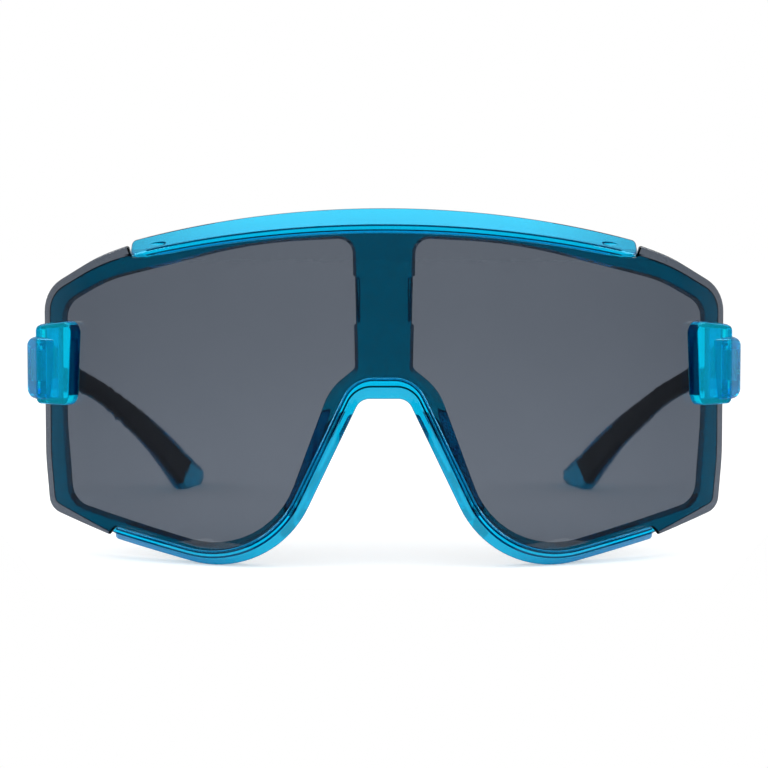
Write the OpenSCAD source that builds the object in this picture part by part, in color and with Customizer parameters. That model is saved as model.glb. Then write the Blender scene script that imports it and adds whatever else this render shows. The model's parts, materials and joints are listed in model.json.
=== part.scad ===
// Shield sunglasses: one wrapped smoke lens in a clear blue moulded front, with end pieces that clip
// round the lens and the rims at each side, riveted three-knuckle hinges and two-part temples.
// X is to the wearer's left, Y runs back along the temples and Z is up. The glasses stand open on the
// undersides of their rims and on their temple tips. Lengths are in millimetres.

/* [Lens] */
// Width of the lens across its side edges
lens_w = 144; // [132:1:156]
// Radius that the lens's outer face is wrapped to
wrap_r = 105; // [98:1:130]
// Thickness of the lens
lens_t = 2; // [1.6:0.1:2.4]

/* [Front] */
// Height of the front, from its base line to the top of the brow
front_h = 72.5; // [66:0.5:80]
// Thickness of the rims behind the lens
plate_t = 2.6; // [2.2:0.1:3.2]
// Thickness of the lip in front of the lens
lip_t = 1.2; // [0.9:0.1:1.6]
// Depth of lens edge that the lips cover
lip_hold = 0.7; // [0.5:0.1:1.4]
// How far the side rims lie inside the lens edge
side_inset = 1.7; // [1.3:0.1:2.4]
// Rise of the brow's top face for each step back
brow_slope = 0.8; // [0.5:0.05:1]
// Fall of the bevel under the rims for each step forward
bevel_slope = 0.7; // [0.4:0.05:1]
// Depth of the nose pads behind the rims
pad_d = 6.5; // [5:0.5:9]
// Thickness of the nose pads
pad_t = 1.9; // [1.5:0.1:2.4]
// Angle at which the nose pads spread towards the back
pad_spread = 14; // [8:1:25]

/* [End pieces] */
// How far the end pieces stand out past the lens edge
end_over = 4; // [3.4:0.1:6]
// Width of a clip block along the lens
clip_w = 11.4; // [9:0.2:14]
// Width of its back wall, which grips the rim
clip_back_w = 5.4; // [4:0.2:6.4]
// Thickness of the wall that joins the two round the lens edge
clip_web_t = 2.2; // [1.6:0.1:2.6]
// Height of a clip block
clip_h = 17.9; // [15:0.1:20]
// How far a clip block reaches past the lens edge
clip_over = 0.1; // [0:0.05:0.6]
// How far a clip block's front wall laps over the edge of the lens's notch
clip_lap = 1.2; // [0.8:0.1:1.8]
// Thickness of a clip block's front wall
clip_front_t = 2.4; // [1.8:0.1:2.8]
// Thickness of a clip block's back wall
clip_back_t = 1.6; // [1.3:0.1:2.2]
// Height of the clip blocks' middle above the base line
clip_z = 40.3; // [38:0.1:42]
// How far the arm that runs back from a clip block starts below the block's top
arm_drop = 3.8; // [3:0.1:4.6]
// Height of that arm
arm_h = 13.2; // [12:0.1:14]
// Fall of the arm's top on its way back to the joint face
arm_fall = 1.7; // [1:0.1:2.2]
// How far the raised boss that the arm starts from reaches in over the lens edge
boss_hold = 3.1; // [2:0.1:4]
// How far the boss stands over the clip block
boss_rise = 0.9; // [0.5:0.1:1.3]

/* [Temples] */
// Length of a temple, measured straight back from its joint face
temple_l = 112.4; // [100:0.2:125]
// How far a temple tip comes in towards the head
toe_in = 22.2; // [12:0.1:26]
// Thickness of the temple at its joint face
head_t = 5.7; // [5:0.1:6.5]
// Thickness of the soft grip on the inside of a temple
grip_t = 1.6; // [1:0.1:1.8]
// How far the grip stays below a temple's top edge towards the tip
grip_inset = 1.6; // [0.8:0.1:2.2]

/* [Hinges] */
// How far the joint faces lie behind the lens's side edges
joint_back = 15.4; // [14.6:0.1:20]
// Radius of a hinge knuckle
knuckle_r = 1.5; // [1.3:0.05:1.7]
// Height of one hinge knuckle
knuckle_h = 2.1; // [1.8:0.1:2.3]
// Thickness of a hinge leaf
leaf_t = 0.9; // [0.7:0.05:1.1]
// Length of a hinge leaf along the temple
leaf_l = 6.4; // [6:0.1:7]
// Radius of the hinge screw's shank
screw_r = 0.65; // [0.5:0.05:0.75]
// Radius of the screw's head
head_r = 1.2; // [1:0.05:1.3]
// Height of the screw's head
head_h = 0.5; // [0.4:0.05:0.6]
// Radius of a leaf rivet's shank
rivet_r = 0.55; // [0.4:0.05:0.65]

/* [Hidden] */

// Fits
lens_gap = 0.1;      // air on each face of the lens
edge_gap = 0.15;     // air round the edge of the lens in its groove
part_gap = 0.1;      // air between two moulded pieces, or a leaf and its pocket
turn_gap = 0.15;     // air at each side of a face that turns past another
knuckle_gap = 0.1;   // air between one knuckle and the next
pin_gap = 0.05;      // air round the screw in the knuckle that turns on it
rivet_gap = 0.02;    // air round a rivet, or the screw where it is held
overrun = 1;         // how far a cut runs past the face that it opens

// Smoothness
fine = 160;          // facets drawn on the wrapped faces
round_fn = 48;       // facets drawn on small round pieces
chord = 2.5;         // longest straight step round an outline's corner
arc_step = 12;       // largest turn between two such steps, in degrees
arch_steps = 10;     // steps along half of the brow's arch
temple_steps = 30;   // rings along a temple
grip_steps = 17;     // steps along the face that a grip is stuck to, set between the rings

// Radii of the wrapped faces, all about one upright axis behind the lens
slot_out = wrap_r + lens_gap;
slot_in = wrap_r - lens_t - lens_gap;
lip_out = slot_out + lip_t;
plate_in = slot_in - plate_t;
half_w = lens_w / 2;

// Corners of the outlines in the front view: how far out as a share of half the lens's width, how high
// as a share of the front's height, and the radius at the corner as a share of the front's height
side_shares = [[0.824, 0.863, 0.55], [1, 0.763, 0.11], [1, 0.276, 0.8], [0.986, 0.123, 0.048]];
top_notch_share = [0.731, 0.895, 0.007];
low_notch_share = [0.793, 0.064, 0.006];
rim_shares = [[0.78, 0.0535, 0.012], [0.3153, -0.0455, 0.317], [0.066, 0.472, 0.041]];
eye_shares = [
    [0.089, 0.916, 0.039], [0.361, 0.902, 2.07], [0.792, 0.793, 0.41], [0.922, 0.72, 0.069],
    [0.925, 0.386, 0.8], [0.907, 0.147, 0.062], [0.333, 0.012, 0.25], [0.154, 0.497, 0.166],
    [0.082, 0.556, 0.021]
];

// The brow: where it ends, how far its lines fall from the middle to there, and how high they start
brow_end_share = 0.722;
top_fall_share = 0.0925;
lip_fall_share = 0.083;
crease_z_share = 0.953;
lip_z_share = 0.931;
plate_top_share = 0.962;
brow_end_r_share = 0.048;
brow_tip_r_share = 0.016;

// The least that a corner's radius shrinks to where its outline is moved in
corner_keep_share = 0.25;

// Widths of the lower rim, from the silhouette in, as shares of the front's height: along the bottom,
// beside the nose and over the bridge
lip_w_shares = [0.0405, 0.047, 0.062];
crease_w_shares = [0.02, 0.0275, 0.0345];

// The shallow scallop in each side of the bridge: its middle, half its width and half its height
scallop_share = [0.088, 0.745];
scallop_size_share = [0.021, 0.066];

// The nose pads: the height of their middle and half their height, and the corners at their back, which
// follow half their height: how high these lie and how round they are
pad_z_share = 0.285;
pad_h_share = 0.155;
pad_corner_shares = [0.8, 0.7];

// Corners of a clip block: how far across from the lens edge and how high, as shares of its size
clip_shares = [[-1, 0.5], [1, 0.42], [1, -0.5], [-0.9, -0.5]];
clip_r_share = 0.13;
boss_lean_share = 0.2;              // how far the boss's inner side leans out at its foot, from its width

// A temple from its joint face to its tip: how far along, the heights of its top and its bottom as
// shares of the joint face's top, and its thickness as a share of that at the joint face
temple_shares = [
    [0, 1, 0.74, 1], [0.06, 0.955, 0.742, 0.93], [0.12, 0.885, 0.738, 0.78], [0.2, 0.822, 0.715, 0.66],
    [0.35, 0.715, 0.612, 0.58], [0.5, 0.592, 0.463, 0.56], [0.65, 0.46, 0.3, 0.58],
    [0.8, 0.307, 0.1, 0.64], [0.88, 0.215, -0.01, 0.68], [0.96, 0.128, -0.03, 0.66], [1, 0.078, 0.015, 0.5]
];
straight_share = 0.075;             // how far along a temple runs straight back
toe_power_share = 1.12;             // how its way in towards the head gathers from there
inner_r_share = 0.25;               // radius of a temple's inner edges as a share of its thickness
outer_r_share = 0.45;               // radius of its outer edges
// The grip's outline: where it starts at its bottom and its top, where its top edge dips under the
// temple's and over how much of the length, and how far along and how high its slanted end runs
grip_start_share = [0.115, 0.145];
grip_dip_share = [0.5, 0.2];
grip_end_shares = [[0.906, 0.152], [0.82, 0]];

// The rivets' places on a leaf, along it and across it
rivet_shares = [[0.43, 0.24], [0.8, -0.24]];
rivet_head_share = 1.7;             // radius of a rivet's head as a share of its shank's
rivet_reach_share = 0.55;           // how deep a rivet reaches into the plastic

function placed(shares) = [for (s = shares) [s[0] * half_w, s[1] * front_h, s[2] * front_h]];
function xz(c) = [c[0], c[1]];
function flip(c) = [-c[0], c[1], c[2]];
function reversed(list) = [for (i = [len(list) - 1 : -1 : 0]) list[i]];
function both_sides(half) = concat(half, [for (c = reversed(half)) if (c[0] > 0) flip(c)]);

// Geometry of a corner of an outline that runs clockwise
function unit(v) = v / norm(v);
function inward(a, b) = let (d = unit(xz(b) - xz(a))) [d[1], -d[0]];
function turned(v, a) = [v[0] * cos(a) - v[1] * sin(a), v[0] * sin(a) + v[1] * cos(a)];

// Where corner b goes when the side before it moves in by w1 and the side after it by w2
function moved_corner(a, b, c, w1, w2) =
    let (n1 = inward(a, b), n2 = inward(b, c), det = n1[0] * n2[1] - n1[1] * n2[0],
         d = [(w1 * n2[1] - w2 * n1[1]) / det, (n1[0] * w2 - n2[0] * w1) / det],
         grow = (det < 0 ? -1 : 1) * (w1 + w2) / 2)
    [b[0] + d[0], b[1] + d[1], b[2] > 0 ? max(b[2] + grow, b[2] * corner_keep_share) : 0];
function moved_end(a, b, w) = let (n = inward(a, b)) [a[0] + n[0] * w, a[1] + n[1] * w, a[2]];

// A closed outline moved in by w, or out where w is negative
function moved_loop(c, w) =
    let (n = len(c)) [for (i = [0 : n - 1]) moved_corner(c[(i + n - 1) % n], c[i], c[(i + 1) % n], w, w)];

// Points round one corner, whose radius is limited by the sides that it joins
function corner_points(a, b, c, r) =
    r <= 0 ? [b] :
    let (u = unit(a - b), v = unit(c - b), half = acos(u * v) / 2,
         reach = min(r / tan(half), norm(a - b) / 2, norm(c - b) / 2), rr = reach * tan(half),
         mid = b + unit(u + v) * rr / sin(half), from = b + u * reach - mid, to = b + v * reach - mid,
         turn = 180 - 2 * half, way = sign(cross(from, to)),
         steps = max(1, ceil(turn / arc_step), ceil(rr * turn * PI / 180 / chord)))
    [for (k = [0 : steps]) mid + turned(from, way * turn * k / steps)];
function rounded(c) =
    let (n = len(c))
    [for (i = [0 : n - 1])
        each corner_points(xz(c[(i + n - 1) % n]), xz(c[i]), xz(c[(i + 1) % n]), c[i][2])];

// The same outline with its long straight sides cut into short steps
function stepped(p) =
    let (n = len(p))
    [for (i = [0 : n - 1])
        let (a = p[i], b = p[(i + 1) % n], steps = max(1, ceil(norm(b - a) / (2 * chord))))
        for (k = [0 : steps - 1]) a + (b - a) * k / steps];

// How far back a wrapped face of radius r lies at a distance x from the middle
function wrap_y(r, x) = wrap_r - sqrt(r * r - x * x);

// Half an arch at height z in the middle, which falls by `fall` at the brow's end and stops at x_end
brow_end = brow_end_share * half_w;
function arch(z, fall, x_end) =
    let (r = (brow_end * brow_end + fall * fall) / (2 * fall))
    [for (k = [0 : arch_steps]) let (x = x_end * k / arch_steps) [x, z - r + sqrt(r * r - x * x), 0]];
function last_z(points) = points[len(points) - 1][1];

// The lower rim's line on one side, moved in by one width for each of its three stretches
rim_corners = placed(rim_shares);
function rim_line(w) =
    let (c = rim_corners)
    [moved_end(c[0], c[1], w[0]), moved_corner(c[0], c[1], c[2], w[0], w[1]),
     moved_corner(c[1], c[2], flip(c[2]), w[1], w[2])];
lip_ws = lip_w_shares * front_h;
crease_ws = crease_w_shares * front_h;
lens_ws = [for (w = lip_ws) w - lip_hold];

// The height of the rims' lowest point, which the glasses stand on
floor_z = min([for (p = rounded(both_sides(rim_corners))) p[1]]);

// Outlines in the front view
lip_fall = lip_fall_share * front_h;
top_fall = top_fall_share * front_h;
notch_r = top_notch_share[2] * front_h;
end_r = brow_end_r_share * front_h;
tip_r = brow_tip_r_share * front_h;
top_notch = placed([top_notch_share])[0];
low_notch = placed([low_notch_share])[0];
side_corners = placed(side_shares);
lens_top = arch(lip_z_share * front_h + lip_hold, lip_fall, brow_end - end_r);
lens_step = [brow_end - edge_gap, last_z(lens_top), notch_r];
lens_half = concat(lens_top, [lens_step, top_notch], side_corners, [low_notch], rim_line(lens_ws));
lens_loop = both_sides(lens_half);

side_run = concat([top_notch], side_corners, [low_notch]);
plate_half = concat(
    arch(plate_top_share * front_h, top_fall, brow_end - end_r),
    [for (i = [1 : len(side_run) - 2])
        moved_corner(side_run[i - 1], side_run[i], side_run[i + 1], side_inset, side_inset)],
    rim_line(crease_ws / 2));
plate_loop = both_sides(plate_half);
eye_loop = placed(eye_shares);

brow_top = arch(front_h, top_fall, brow_end - end_r);
brow_low = arch(lip_z_share * front_h, lip_fall, brow_end - 2 * end_r);
brow_half = concat(
    brow_top,
    [[brow_end, front_h - top_fall, tip_r], [brow_end, last_z(brow_low) - lip_fall / arch_steps, end_r]],
    reversed(brow_low));
brow_loop = both_sides(brow_half);
crease_half = concat(
    arch(crease_z_share * front_h, lip_fall, brow_end + overrun), [[brow_end + overrun, 0, 0]]);
rim_band = concat(both_sides(rim_corners), reversed(both_sides(rim_line(lip_ws))));

// A solid of an outline, from y0 back to y1
module prism(points, y0, y1) {
    translate([0, y1, 0]) rotate([90, 0, 0]) linear_extrude(y1 - y0) polygon(points);
}

// The same, but its walls rise by `slope` for each step back
module slanted_prism(points, slope) {
    tilt = atan(slope);
    rotate([90 + tilt, 0, 0]) linear_extrude(3 * wrap_r, center = true)
        polygon([for (p = points) [p[0], (p[1] - slope * wrap_y(lip_out, p[0])) * cos(tilt)]]);
}

// The space between two wrapped faces
module shell(r_out, r_in) {
    translate([0, wrap_r, -front_h]) difference() {
        cylinder(h = 3 * front_h, r = r_out, $fn = fine);
        translate([0, 0, -overrun]) cylinder(h = 3 * front_h + 2 * overrun, r = r_in, $fn = fine);
    }
}

module wrapped(points, r_out, r_in) {
    intersection() {
        shell(r_out, r_in);
        prism(points, -clip_w, joint_y + clip_w);
    }
}

// The spaces of the lens and of the rims behind it, with some air round them
module lens_space(face_air, edge_air) {
    wrapped(rounded(moved_loop(lens_loop, -edge_air)), wrap_r + face_air, wrap_r - lens_t - face_air);
}

module plate_space(air) {
    wrapped(rounded(moved_loop(plate_loop, -air)), slot_in + air, plate_in - air);
}

module in_place() {
    translate([0, -mid_y, -floor_z]) children();
}

module on_side(side) {
    in_place() mirror([side < 0 ? 1 : 0, 0, 0]) children();
}

module shield_lens() {
    color([0.35, 0.37, 0.4, 0.6]) in_place() difference() {
        lens_space(0, 0);
        for (m = [0, 1]) mirror([m, 0, 0]) lens_notch(0);
    }
}

// The front moulding
module frame_front() {
    color([0, 0.68, 0.92]) in_place() {
        difference() {
            union() {
                rims();
                brow();
                lower_rims();
            }
            lens_space(lens_gap, edge_gap);
        }
        nose_pad();
        mirror([1, 0, 0]) nose_pad();
    }
}

// The rims and the bridge behind the lens
module rims() {
    difference() {
        wrapped(rounded(plate_loop), slot_in, plate_in);
        for (m = [0, 1]) mirror([m, 0, 0]) {
            prism(rounded(eye_loop), -clip_w, joint_y);
            scallop();
        }
    }
}

module scallop() {
    size = scallop_size_share * front_h;
    middle = [scallop_share[0] * half_w, scallop_share[1] * front_h];
    corners = [for (s = [[-1, -1], [-1, 1], [1, 1], [1, -1]])
        [middle[0] + s[0] * size[0], middle[1] + s[1] * size[1], size[0] / 2]];
    intersection() {
        prism(rounded(corners), 0, joint_y);
        shell(slot_in - plate_t / 2, plate_in - overrun);
    }
}

// The bar over the lens, whose top slopes forward to the crease above its lip
module brow() {
    intersection() {
        wrapped(rounded(brow_loop), lip_out, plate_in);
        slanted_prism(stepped([for (c = both_sides(crease_half)) xz(c)]), brow_slope);
    }
}

// The rims under the lens and round the nose, bevelled back under their lip
module lower_rims() {
    difference() {
        wrapped(rounded(rim_band), lip_out, plate_in);
        slanted_prism(stepped(rounded(low_cut)), -bevel_slope);
    }
}

// Everything below the line between the lip and the bevel
low_line = both_sides(rim_line(crease_ws));
low_cut = concat(
    low_line,
    [[-half_w, low_line[len(low_line) - 1][1], 0], [-half_w, -front_h, 0],
     [half_w, -front_h, 0], [half_w, low_line[0][1], 0]]);

// A nose pad: a flange that runs back and out from the rim beside the nose
module nose_pad() {
    nose = [xz(rim_corners[1]), xz(rim_corners[2])];
    along = unit(nose[1] - nose[0]);
    across = [along[1], -along[0]];
    z = pad_z_share * front_h;
    middle = nose[0] + along * (z - nose[0][1]) / along[1];
    reach = pad_h_share * front_h / along[1];
    band = [for (s = [[-1, 0], [1, 0], [1, 1], [-1, 1]])
        middle + along * s[0] * reach + across * s[1] * pad_t];
    y0 = wrap_y(slot_in, middle[0]);
    intersection() {
        translate([middle[0], y0, 0]) rotate([0, 0, -pad_spread]) translate([-middle[0], 0, 0])
            prism(band, 0, 2 * pad_d);
        translate([0, y0, z]) rotate([90, 0, 90]) linear_extrude(half_w)
            polygon(rounded(pad_corners(pad_h_share * front_h)));
    }
}

function pad_corners(h) =
    let (back = plate_t + pad_d, side = h * pad_corner_shares[0], r = h * pad_corner_shares[1])
    [[plate_t / 2, h, 0], [back, side, r], [back, -side, r], [plate_t / 2, -h, 0]];

// Places of the end pieces, worked out on the wearer's left
arm_out = half_w + end_over;
arm_in = arm_out - head_t;
full_w = 2 * arm_out;
arm_top = clip_z + clip_h / 2 - arm_drop;
arm_low = arm_top - arm_h;
joint_top = arm_top - arm_fall;
clip_front_r = slot_out + clip_front_t;
clip_back_r = plate_in - part_gap - clip_back_t;
edge_turn = asin(half_w / wrap_r);
outer_r = outer_r_share * head_t;

// Places of the hinges
joint_y = wrap_y(wrap_r, half_w) + joint_back;
pivot_x = arm_in + leaf_t - knuckle_r;
hinge_h = 3 * knuckle_h + 2 * knuckle_gap;
relief_r = knuckle_r + turn_gap;
hinge_z = joint_top - leaf_t - part_gap - head_h - hinge_h / 2;
joint_face = joint_y - turn_gap;
rivet_reach = head_t * rivet_reach_share;

// The outline of a clip block, seen square on, with its sides given from the lens edge, and then moved in
module clip_slab(w, over, r_out, r_in, inset = 0) {
    corners = [for (s = clip_shares)
        [s[0] > 0 ? over : s[0] * w, clip_z + s[1] * clip_h, clip_r_share * clip_h]];
    intersection() {
        translate([half_w, wrap_y(wrap_r, half_w), 0]) rotate([0, 0, edge_turn])
            prism(rounded(moved_loop(corners, inset)), -clip_w, clip_w);
        shell(r_out, r_in);
    }
}

// The notch in each side of the lens, which a clip block fills but for some air
module lens_notch(air) {
    past_edge = clip_lap + 2 * lens_t;
    clip_slab(clip_w, past_edge, slot_out + overrun, slot_in - overrun, clip_lap + air);
}

// The arm that starts as a raised boss on the block and runs back round the lens edge
module clip_arm() {
    boss_in = half_w - boss_hold;
    boss_w = arm_out - boss_in;
    boss_mid = boss_in + boss_w / 2 + boss_rise;
    plan = [
        [boss_in, wrap_y(clip_front_r, boss_in), 0],
        [boss_mid, wrap_y(clip_front_r, boss_mid) - boss_rise, outer_r],
        [arm_out, wrap_y(clip_front_r, arm_out) + boss_rise, outer_r],
        [arm_out, joint_face, 0], [arm_in, joint_face, 0],
        [arm_in, wrap_y(clip_back_r, arm_in) - clip_back_t, 0],
        [boss_in, wrap_y(clip_back_r, boss_in) - clip_back_t, 0]
    ];
    front = [
        [boss_in, arm_top, outer_r / 2], [arm_out, arm_top, outer_r],
        [arm_out, arm_low, outer_r], [boss_in + boss_w * boss_lean_share, arm_low, outer_r / 2]
    ];
    fall_y = wrap_y(clip_front_r, arm_out);
    side = [
        [0, arm_low], [0, arm_top], [fall_y, arm_top], [joint_y, joint_top], [joint_y, arm_low]
    ];
    intersection() {
        translate([0, 0, arm_low]) linear_extrude(arm_h) polygon(rounded(plan));
        prism(rounded(front), 0, joint_y);
        rotate([90, 0, 90]) linear_extrude(full_w) polygon(side);
    }
}

module end_piece(side) {
    color([0, 0.66, 0.94]) on_side(side) difference() {
        union() {
            clip_slab(clip_w, clip_over, clip_front_r, slot_in);
            clip_slab(clip_back_w, clip_web_t, slot_out, clip_back_r);
            clip_arm();
        }
        difference() {
            lens_space(part_gap, part_gap);
            lens_notch(part_gap);
        }
        plate_space(part_gap);
        hinge_room(-1);
    }
}

// What a hinge needs out of the plastic in front of the joint (way -1) or behind it (way 1)
module hinge_room(way) {
    room_h = hinge_h + 2 * part_gap;
    along_y(way) {
        translate([arm_in - overrun, -overrun, hinge_z - room_h / 2])
            cube([leaf_t + part_gap + overrun, leaf_l + part_gap + overrun, room_h]);
        translate([pivot_x, 0, hinge_z - room_h / 2])
            cylinder(h = room_h + head_h + part_gap, r = relief_r, $fn = round_fn);
        rivet_spots()
            cylinder(h = rivet_reach + rivet_gap, r = rivet_r + rivet_gap, $fn = round_fn);
    }
}

// Puts the joint at Y zero, with what is drawn ahead of it or behind it
module along_y(way) {
    translate([0, joint_y, 0]) mirror([0, way < 0 ? 1 : 0, 0]) children();
}

module rivet_spots() {
    for (s = rivet_shares)
        translate([arm_in, s[0] * leaf_l, hinge_z + s[1] * hinge_h]) rotate([0, 90, 0]) children();
}

// One leaf with its knuckles: the front leaf has the outer two, and the temple's has the middle one
module leaf(way, knuckles, bore_air) {
    spare = [for (k = [-1, 0, 1]) if (len([for (own = knuckles) if (own == k) k]) == 0) k];
    along_y(way) difference() {
        union() {
            translate([arm_in, 0, hinge_z - hinge_h / 2]) cube([leaf_t, leaf_l, hinge_h]);
            for (k = knuckles) knuckle(k, knuckle_r, knuckle_h);
        }
        for (k = spare) knuckle(k, relief_r, knuckle_h + 2 * knuckle_gap);
        translate([pivot_x, 0, hinge_z - hinge_h])
            cylinder(h = 2 * hinge_h, r = screw_r + bore_air, $fn = round_fn);
        rivet_spots() translate([0, 0, -overrun])
            cylinder(h = leaf_t + 2 * overrun, r = rivet_r + rivet_gap, $fn = round_fn);
    }
}

module knuckle(place, r, h) {
    translate([pivot_x, 0, hinge_z + place * (knuckle_h + knuckle_gap) - h / 2])
        cylinder(h = h, r = r, $fn = round_fn);
}

module front_leaf(side) {
    color([0.72, 0.73, 0.75]) on_side(side) leaf(-1, [-1, 1], rivet_gap);
}

module temple_leaf(side) {
    color([0.66, 0.67, 0.7]) on_side(side) leaf(1, [0], pin_gap);
}

module rivets(way) {
    along_y(way) rivet_spots() {
        translate([0, 0, -rivet_r]) {
            cylinder(h = rivet_reach + rivet_r, r = rivet_r, $fn = round_fn);
            cylinder(h = rivet_r - rivet_gap, r = rivet_r * rivet_head_share, $fn = round_fn);
        }
    }
}

module front_rivets(side) {
    color([0.8, 0.81, 0.83]) on_side(side) rivets(-1);
}

module temple_rivets(side) {
    color([0.8, 0.81, 0.83]) on_side(side) rivets(1);
}

// The screw that the temple turns on, with its slotted head on the top knuckle
module hinge_screw(side) {
    color([0.55, 0.56, 0.6]) on_side(side) translate([pivot_x, joint_y, 0]) difference() {
        union() {
            translate([0, 0, hinge_z - hinge_h / 2])
                cylinder(h = hinge_h + head_h, r = screw_r, $fn = round_fn);
            translate([0, 0, hinge_z + hinge_h / 2 + rivet_gap])
                cylinder(h = head_h - rivet_gap, r = head_r, $fn = round_fn);
        }
        translate([-head_r, -head_h / 4, hinge_z + hinge_h / 2 + head_h / 2])
            cube([2 * head_r, head_h / 2, head_h]);
    }
}

// A temple's heights and thickness a share t of the way along it, on smooth curves through the rows
function rate(k) =
    let (a = temple_shares[max(k - 1, 0)], b = temple_shares[min(k + 1, len(temple_shares) - 1)])
    (b - a) / (b[0] - a[0]);
function row_at(t) =
    let (k = max([for (i = [0 : len(temple_shares) - 2]) if (t >= temple_shares[i][0]) i]),
         a = temple_shares[k], b = temple_shares[k + 1], h = b[0] - a[0], u = (t - a[0]) / h)
    a * (1 + 2 * u) * pow(1 - u, 2) + b * u * u * (3 - 2 * u)
        + rate(k) * h * u * pow(1 - u, 2) - rate(k + 1) * h * u * u * (1 - u);
function temple_y(t) = joint_y + turn_gap + t * temple_l;
function temple_x(t) =
    arm_in - toe_in * pow(max(0, t - straight_share) / (1 - straight_share), toe_power_share);

// One ring of the temple's surface: a rectangle with rounded corners
function ring_corner(x, y, z, r, from) =
    [for (a = [0 : 45 : 90]) [x + r * cos(from + a), y, z + r * sin(from + a)]];
function ring(t) =
    let (row = row_at(t), top = row[1] * joint_top, low = row[2] * joint_top, thick = row[3] * head_t,
         x0 = temple_x(t), x1 = x0 + thick, y = temple_y(t),
         ri = thick * inner_r_share, ro = thick * outer_r_share)
    concat(ring_corner(x1 - ro, y, top - ro, ro, 0), ring_corner(x0 + ri, y, top - ri, ri, 90),
           ring_corner(x0 + ri, y, low + ri, ri, 180), ring_corner(x1 - ro, y, low + ro, ro, 270));

module temple_form() {
    rings = [for (k = [0 : temple_steps]) ring(k / temple_steps)];
    n = len(rings[0]);
    sides = [for (k = [0 : temple_steps - 1]) for (i = [0 : n - 1])
        let (a = k * n + i, b = k * n + (i + 1) % n) each [[a, b, b + n], [a, b + n, a + n]]];
    ends = [[for (i = [n - 1 : -1 : 0]) i], [for (i = [0 : n - 1]) temple_steps * n + i]];
    intersection() {
        polyhedron([for (r = rings) each r], concat(sides, ends));
        translate([0, 0, floor_z]) cube([full_w, 2 * (joint_y + temple_l), front_h]);
    }
}

// The space of the grip on the inside of a temple, with some air round it
module grip_space(air) {
    ts = [for (k = [0 : grip_steps - 1]) (k + 0.5) / grip_steps];
    plan = concat([for (t = ts) [temple_x(t) - overrun, temple_y(t)]],
                  [for (t = reversed(ts)) [temple_x(t) + grip_t + air, temple_y(t)]]);
    high = [for (t = ts) if (t > grip_start_share[1] && t < grip_end_shares[0][0])
        [temple_y(t), row_at(t)[1] * joint_top + air
            - grip_inset * max(-1, min(1, (t - grip_dip_share[0]) / grip_dip_share[1]))]];
    side = concat(
        [[temple_y(grip_start_share[0]) - air, floor_z - overrun],
         [temple_y(grip_start_share[1]) - air, joint_top]],
        high,
        [for (s = grip_end_shares) [temple_y(s[0]) + air, s[1] * joint_top]],
        [[temple_y(grip_end_shares[1][0]), floor_z - overrun]]);
    intersection() {
        translate([0, 0, floor_z - overrun]) linear_extrude(front_h) polygon(plan);
        rotate([90, 0, 90]) linear_extrude(full_w) polygon(side);
    }
}

module temple_arm(side) {
    color([0, 0.6, 0.85]) on_side(side) difference() {
        temple_form();
        grip_space(part_gap);
        hinge_room(1);
    }
}

module temple_grip(side) {
    color([0.1, 0.1, 0.11]) on_side(side) intersection() {
        temple_form();
        grip_space(0);
    }
}

// The end of the glasses that the temple tips reach
back_y = temple_y(1);
mid_y = (back_y + wrap_y(lip_out, 0)) / 2;

frame_front();
shield_lens();
end_piece(1);  // end_piece_left
end_piece(-1);  // end_piece_right
front_leaf(1);  // front_leaf_left
front_leaf(-1);  // front_leaf_right
front_rivets(1);  // front_rivets_left
front_rivets(-1);  // front_rivets_right
hinge_screw(1);  // hinge_screw_left
hinge_screw(-1);  // hinge_screw_right
temple_leaf(1);  // temple_leaf_left
temple_leaf(-1);  // temple_leaf_right
temple_rivets(1);  // temple_rivets_left
temple_rivets(-1);  // temple_rivets_right
temple_arm(1);  // temple_arm_left
temple_arm(-1);  // temple_arm_right
temple_grip(1);  // temple_grip_left
temple_grip(-1);  // temple_grip_right
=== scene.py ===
# Shield sunglasses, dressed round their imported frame: a smoke lens, the blue front that grips it, a clip
# block at each side, riveted hinges, and temples lined with black grips.
# Outlines are drawn in millimetres in the front view, X to the wearer's left and Z up from the base line.
import json
from math import acos, asin, ceil, cos, degrees, pi, radians, sin, sqrt, tan

import bpy
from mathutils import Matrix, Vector

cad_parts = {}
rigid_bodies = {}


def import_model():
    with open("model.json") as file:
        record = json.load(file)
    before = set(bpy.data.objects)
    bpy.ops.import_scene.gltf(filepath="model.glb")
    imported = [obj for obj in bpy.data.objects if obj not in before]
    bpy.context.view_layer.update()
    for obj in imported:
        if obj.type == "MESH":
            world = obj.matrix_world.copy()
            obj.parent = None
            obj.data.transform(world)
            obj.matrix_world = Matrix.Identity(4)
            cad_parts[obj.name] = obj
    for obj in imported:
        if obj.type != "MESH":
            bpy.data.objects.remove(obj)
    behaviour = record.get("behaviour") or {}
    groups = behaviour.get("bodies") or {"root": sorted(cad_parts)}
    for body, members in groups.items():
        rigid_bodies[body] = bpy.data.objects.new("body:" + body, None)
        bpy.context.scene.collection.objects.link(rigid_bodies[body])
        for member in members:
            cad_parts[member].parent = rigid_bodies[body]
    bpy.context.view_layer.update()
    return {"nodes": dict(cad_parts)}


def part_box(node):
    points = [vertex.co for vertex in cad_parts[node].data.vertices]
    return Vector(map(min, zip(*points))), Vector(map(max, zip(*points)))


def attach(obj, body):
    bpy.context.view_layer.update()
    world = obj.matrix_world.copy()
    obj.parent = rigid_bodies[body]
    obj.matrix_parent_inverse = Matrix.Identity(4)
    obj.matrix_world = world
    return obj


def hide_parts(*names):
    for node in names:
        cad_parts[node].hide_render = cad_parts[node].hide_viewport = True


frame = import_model()

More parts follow.
